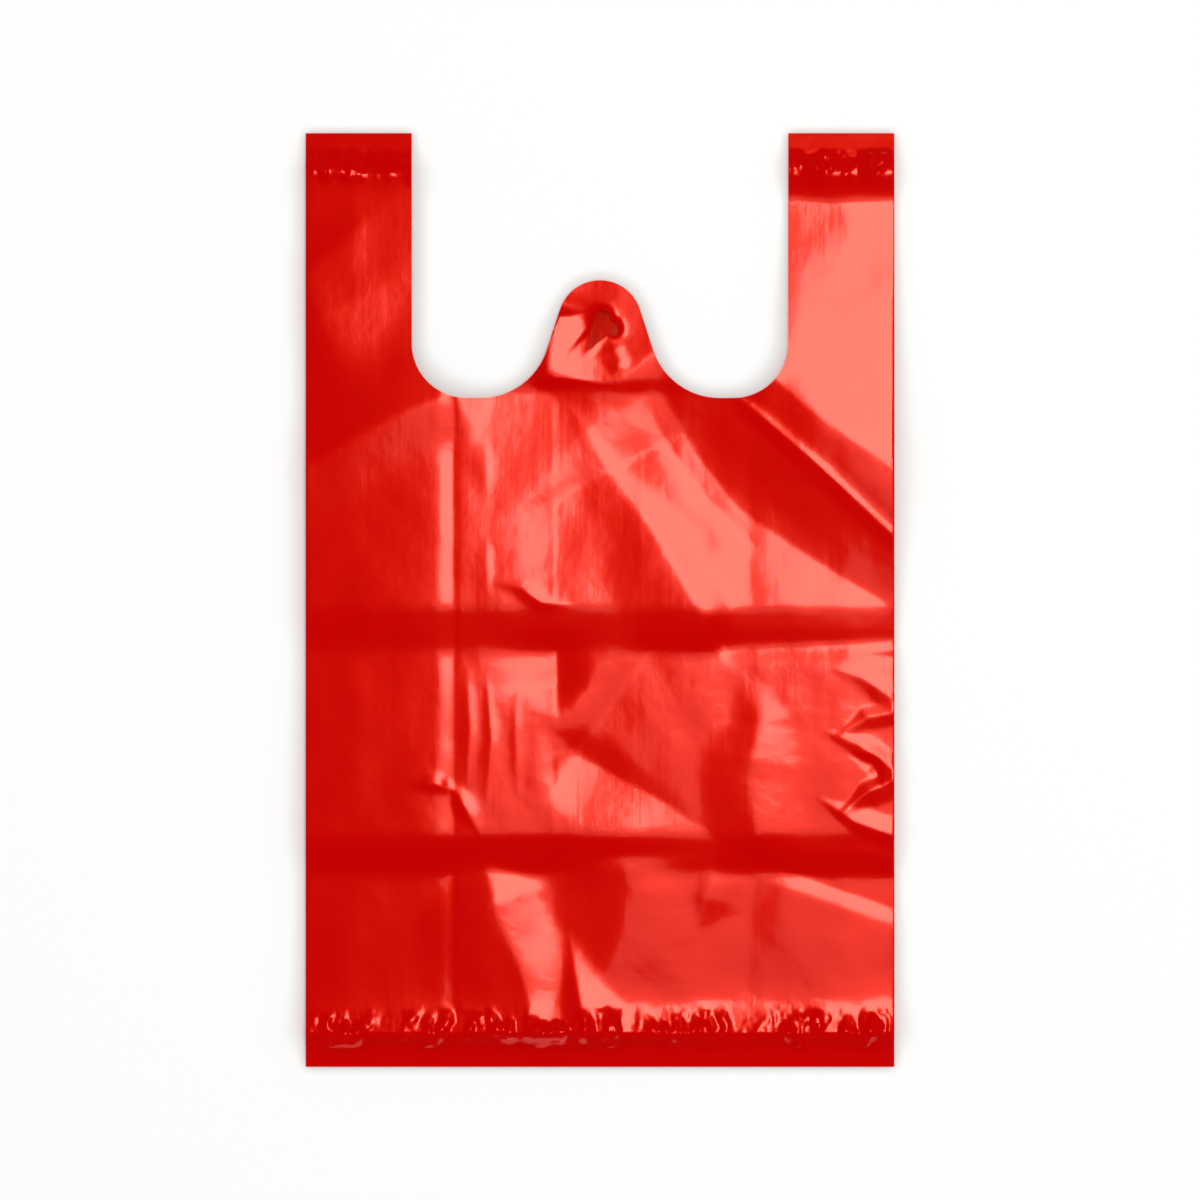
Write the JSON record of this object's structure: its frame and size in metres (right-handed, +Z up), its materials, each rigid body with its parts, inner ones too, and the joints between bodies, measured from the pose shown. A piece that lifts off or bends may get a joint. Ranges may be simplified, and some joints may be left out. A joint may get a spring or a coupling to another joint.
{
  "type": "plastic carrier bag",
  "caption": "Flat vest-style plastic carrier bag of glossy red film, with side gussets, welded ends, two loop handles and a middle tab with a torn hole.",
  "frame": {"origin": "on the surface that the bag lies on, under the middle of its width and length", "axes": "+Y along the bag from the bottom weld to the handles, +X across the bag to the right as seen from above, +Z up, out of the front panel"},
  "size_m": [0.3, 0.476, 0.005],
  "materials": {
    "red_film": "glossy blown polyethylene film, evenly pigmented red, creased"
  },
  "bodies": {
    "root": {"carrier_bag": "red_film"}
  },
  "joints": []
}
